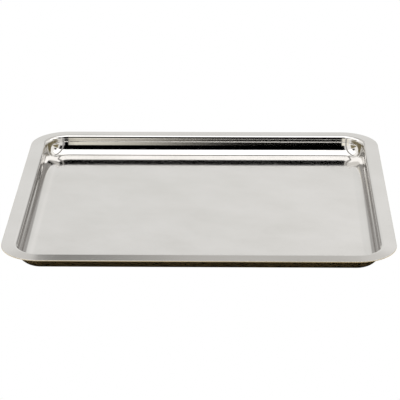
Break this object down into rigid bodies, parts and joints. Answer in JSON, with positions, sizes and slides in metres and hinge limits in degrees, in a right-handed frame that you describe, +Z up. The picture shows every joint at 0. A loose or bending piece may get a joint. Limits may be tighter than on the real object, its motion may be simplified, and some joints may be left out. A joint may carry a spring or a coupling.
{
  "type": "pill counting tray",
  "caption": "Shallow rectangular counting tray pressed from one stainless steel sheet, with a flat rim, rounded corners, coved walls and a flat floor.",
  "frame": {"origin": "middle of the underside, on the plane that the tray rests on", "axes": "+X along the longer side of the rim, +Y towards the back, +Z up out of the open side"},
  "size_m": [0.3, 0.27, 0.0156],
  "materials": {
    "stainless_sheet": "bright polished stainless steel"
  },
  "bodies": {
    "root": {"tray_pan": "stainless_sheet"}
  },
  "joints": []
}
